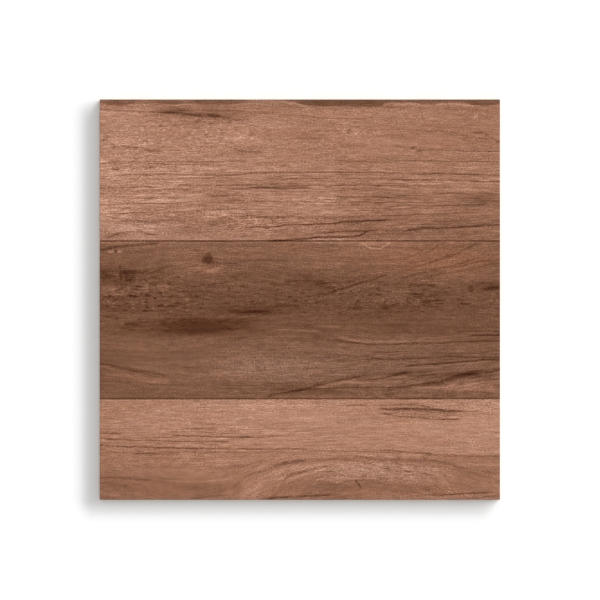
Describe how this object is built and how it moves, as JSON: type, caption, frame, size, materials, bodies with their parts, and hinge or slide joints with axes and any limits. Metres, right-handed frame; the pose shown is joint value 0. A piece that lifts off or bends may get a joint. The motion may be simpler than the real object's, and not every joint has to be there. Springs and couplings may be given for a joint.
{
  "type": "wood look ceramic tile",
  "caption": "Square glazed ceramic floor tile whose satin face copies timber boards laid side by side, with shallow joints between them, eased edges and a ribbed back that keys into adhesive.",
  "frame": {"origin": "centre of the back, on the plane of the rib tops that bed on the floor", "axes": "+Z out of the glazed face, +X along the boards and their joints, +Y across the boards towards the widest gap from a joint to the tile's edge"},
  "size_m": [0.45, 0.45, 0.008],
  "materials": {
    "glazed_tile": "satin"
  },
  "bodies": {
    "root": {"tile": "glazed_tile"}
  },
  "joints": []
}
